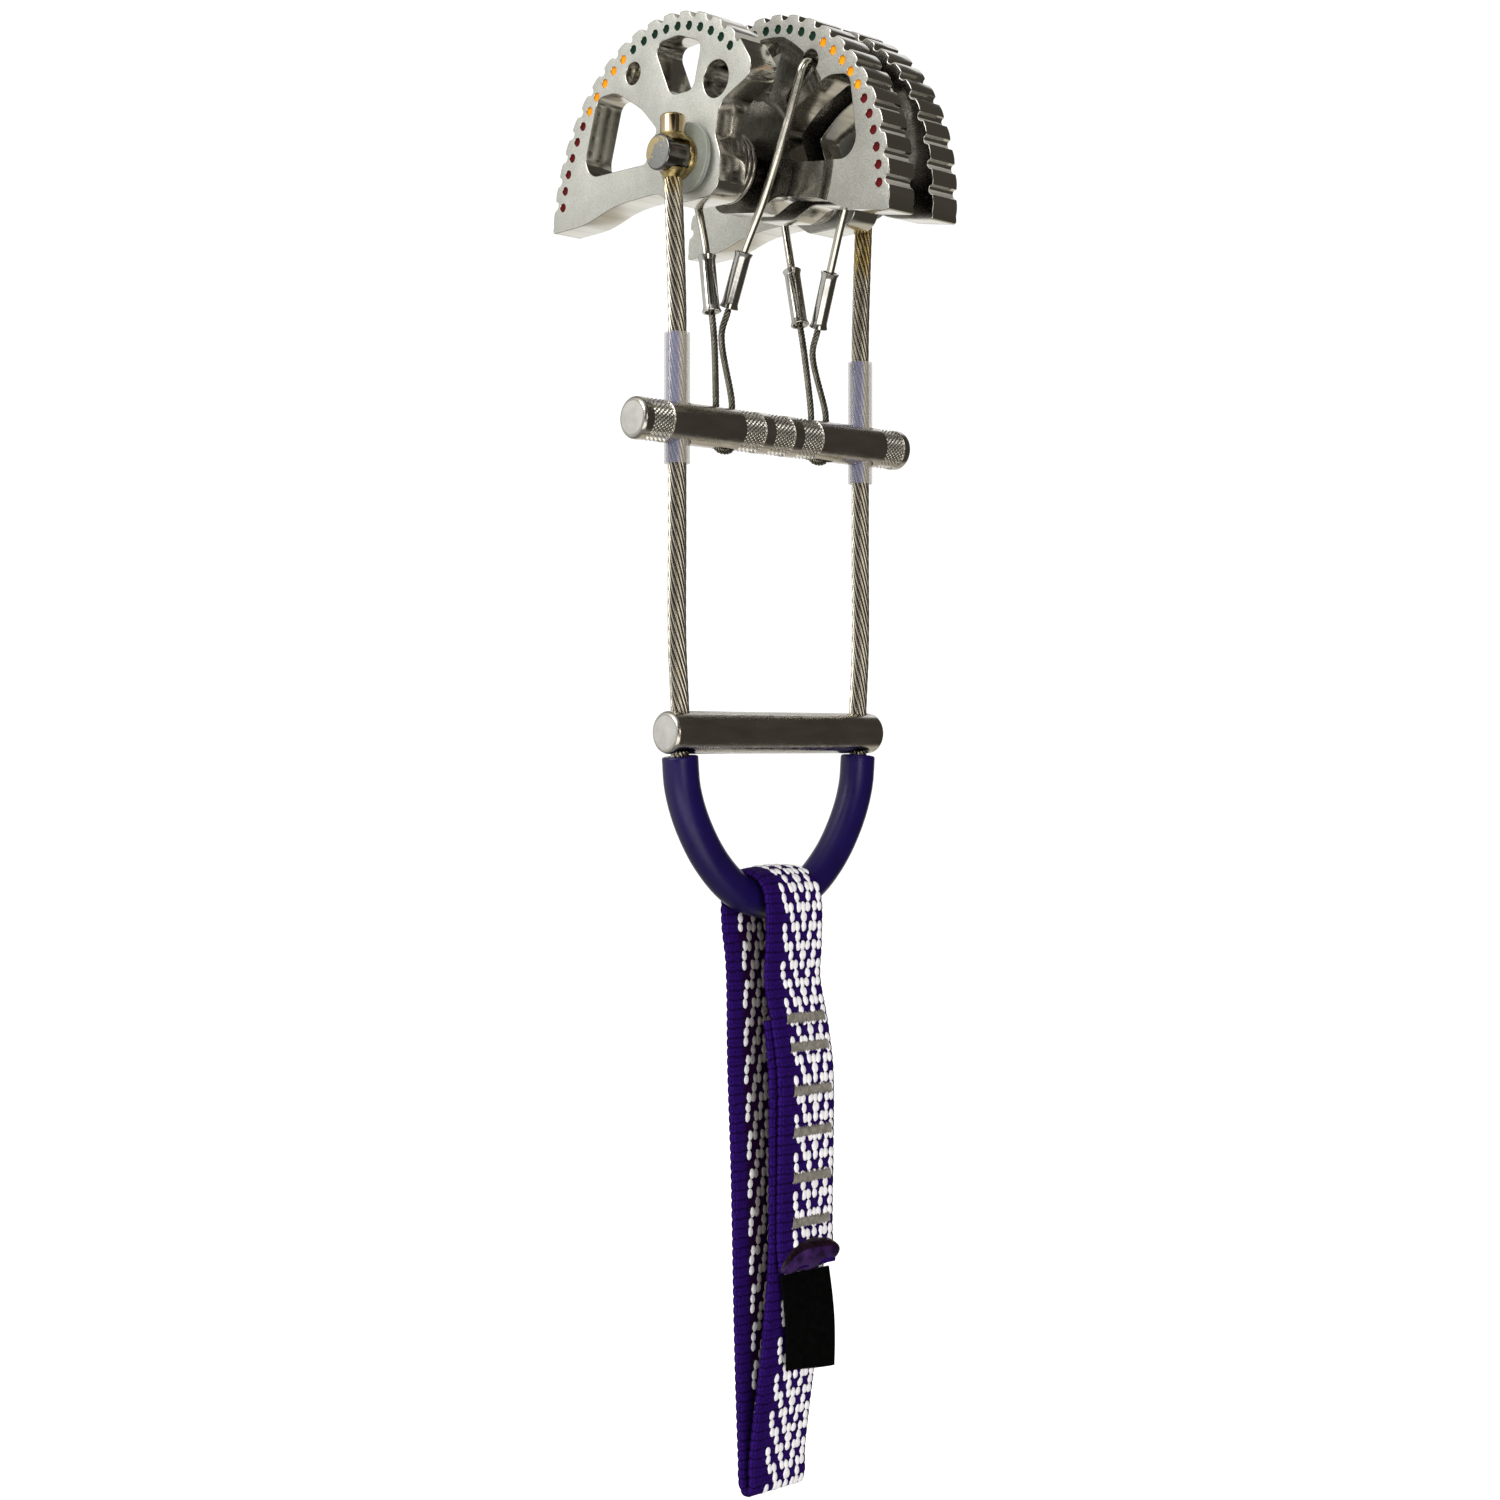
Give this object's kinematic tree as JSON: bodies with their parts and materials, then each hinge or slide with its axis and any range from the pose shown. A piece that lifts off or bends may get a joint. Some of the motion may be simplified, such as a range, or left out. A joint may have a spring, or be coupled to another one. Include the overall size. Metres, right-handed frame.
{
  "type": "spring-loaded camming device",
  "caption": "Four-cam unit for rock cracks: toothed cams on one axle, U-shaped cable stem, pull trigger, thumb bar and sewn webbing sling.",
  "frame": {"origin": "centre of the axle, midway between the two inner cams", "axes": "+X along the axle, +Z from the stem towards the top of the cams, the outer cams open towards +Y"},
  "size_m": [0.0626, 0.0715, 0.2495],
  "materials": {
    "axle_steel": "polished steel pin with a matte cut end",
    "brazed_cap": "shiny, brazed gold tone",
    "nylon": "translucent grey-green nylon",
    "spring_steel": "bright spring wire",
    "cam_aluminium": "tumbled faces, bright cut edges",
    "cable_steel": "twisted stainless strands",
    "loop_plastic": "dark violet, satin gloss",
    "bar_steel": "polished bar with knurled bands",
    "clear_plastic": "clear soft plastic sleeve",
    "thin_cable_steel": "thin twisted cable",
    "ferrule_steel": "polished swaged ferrule",
    "wire_steel": "bright stiff wire",
    "webbing": "woven purple webbing with white floats",
    "label_satin": "black satin, blank"
  },
  "bodies": {
    "stem": {"axle": "axle_steel", "cable_cap_left": "brazed_cap", "cable_cap_right": "brazed_cap", "washer_left": "nylon", "washer_right": "nylon", "centre_spacer": "nylon", "spring_left": "spring_steel", "spring_right": "spring_steel", "stem_cable": "cable_steel", "loop_tube": "loop_plastic", "thumb_bar": "bar_steel"},
    "trigger": {"trigger_bar": "bar_steel", "sleeve_left": "clear_plastic", "sleeve_right": "clear_plastic", "trigger_loop_left": "thin_cable_steel", "trigger_loop_right": "thin_cable_steel"},
    "cam_outer_left": {"cam_outer_left": "cam_aluminium"},
    "cam_inner_left": {"cam_inner_left": "cam_aluminium"},
    "cam_inner_right": {"cam_inner_right": "cam_aluminium"},
    "cam_outer_right": {"cam_outer_right": "cam_aluminium"},
    "wire_outer_left": {"ferrule_outer_left": "ferrule_steel", "pull_wire_outer_left": "wire_steel"},
    "wire_inner_left": {"ferrule_inner_left": "ferrule_steel", "pull_wire_inner_left": "wire_steel"},
    "wire_inner_right": {"ferrule_inner_right": "ferrule_steel", "pull_wire_inner_right": "wire_steel"},
    "wire_outer_right": {"ferrule_outer_right": "ferrule_steel", "pull_wire_outer_right": "wire_steel"},
    "sling": {"sling": "webbing", "label": "label_satin"}
  },
  "joints": [
    {"name": "trigger_pull", "type": "slide", "parent": "stem", "child": "trigger", "axis": [0, 0, -1], "range_m": [0, 0.025], "stiffness_N_per_m": 300, "springref_m": -0.02},
    {"name": "cam_outer_left_turn", "type": "hinge", "parent": "stem", "child": "cam_outer_left", "pos_m": [-0.0159, 0, 0], "axis": [1, 0, 0], "range_deg": [-75, 0]},
    {"name": "cam_inner_left_turn", "type": "hinge", "parent": "stem", "child": "cam_inner_left", "pos_m": [-0.0051, 0, 0], "axis": [1, 0, 0], "range_deg": [0, 70.2]},
    {"name": "cam_inner_right_turn", "type": "hinge", "parent": "stem", "child": "cam_inner_right", "pos_m": [0.0051, 0, 0], "axis": [1, 0, 0], "range_deg": [0, 70.2]},
    {"name": "cam_outer_right_turn", "type": "hinge", "parent": "stem", "child": "cam_outer_right", "pos_m": [0.0159, 0, 0], "axis": [1, 0, 0], "range_deg": [-75, 0]},
    {"name": "wire_outer_left_swing", "type": "hinge", "parent": "trigger", "child": "wire_outer_left", "pos_m": [-0.013, 0, -0.04], "axis": [1, 0, 0], "range_deg": [-6.1, 0]},
    {"name": "wire_inner_left_swing", "type": "hinge", "parent": "trigger", "child": "wire_inner_left", "pos_m": [-0.0094, 0, -0.04], "axis": [1, 0, 0], "range_deg": [0, 2.6]},
    {"name": "wire_inner_right_swing", "type": "hinge", "parent": "trigger", "child": "wire_inner_right", "pos_m": [0.0129, 0, -0.04], "axis": [1, 0, 0], "range_deg": [0, 2.6]},
    {"name": "wire_outer_right_swing", "type": "hinge", "parent": "trigger", "child": "wire_outer_right", "pos_m": [0.0093, 0, -0.04], "axis": [1, 0, 0], "range_deg": [-6.1, 0]},
    {"name": "sling_swing", "type": "hinge", "parent": "stem", "child": "sling", "pos_m": [0, 0, -0.1234], "axis": [1, 0, 0], "range_deg": [-75, 75]}
  ],
  "couplings": [
    {"joint": "cam_outer_left_turn", "follows": "trigger_pull", "rad_per_m": -52.3},
    {"joint": "cam_outer_right_turn", "follows": "trigger_pull", "rad_per_m": -52.3},
    {"joint": "cam_inner_left_turn", "follows": "trigger_pull", "rad_per_m": 48.92},
    {"joint": "cam_inner_right_turn", "follows": "trigger_pull", "rad_per_m": 48.92},
    {"joint": "wire_outer_left_swing", "follows": "trigger_pull", "rad_per_m": -4.211},
    {"joint": "wire_outer_right_swing", "follows": "trigger_pull", "rad_per_m": -4.211},
    {"joint": "wire_inner_left_swing", "follows": "trigger_pull", "rad_per_m": 1.7956},
    {"joint": "wire_inner_right_swing", "follows": "trigger_pull", "rad_per_m": 1.7956}
  ]
}
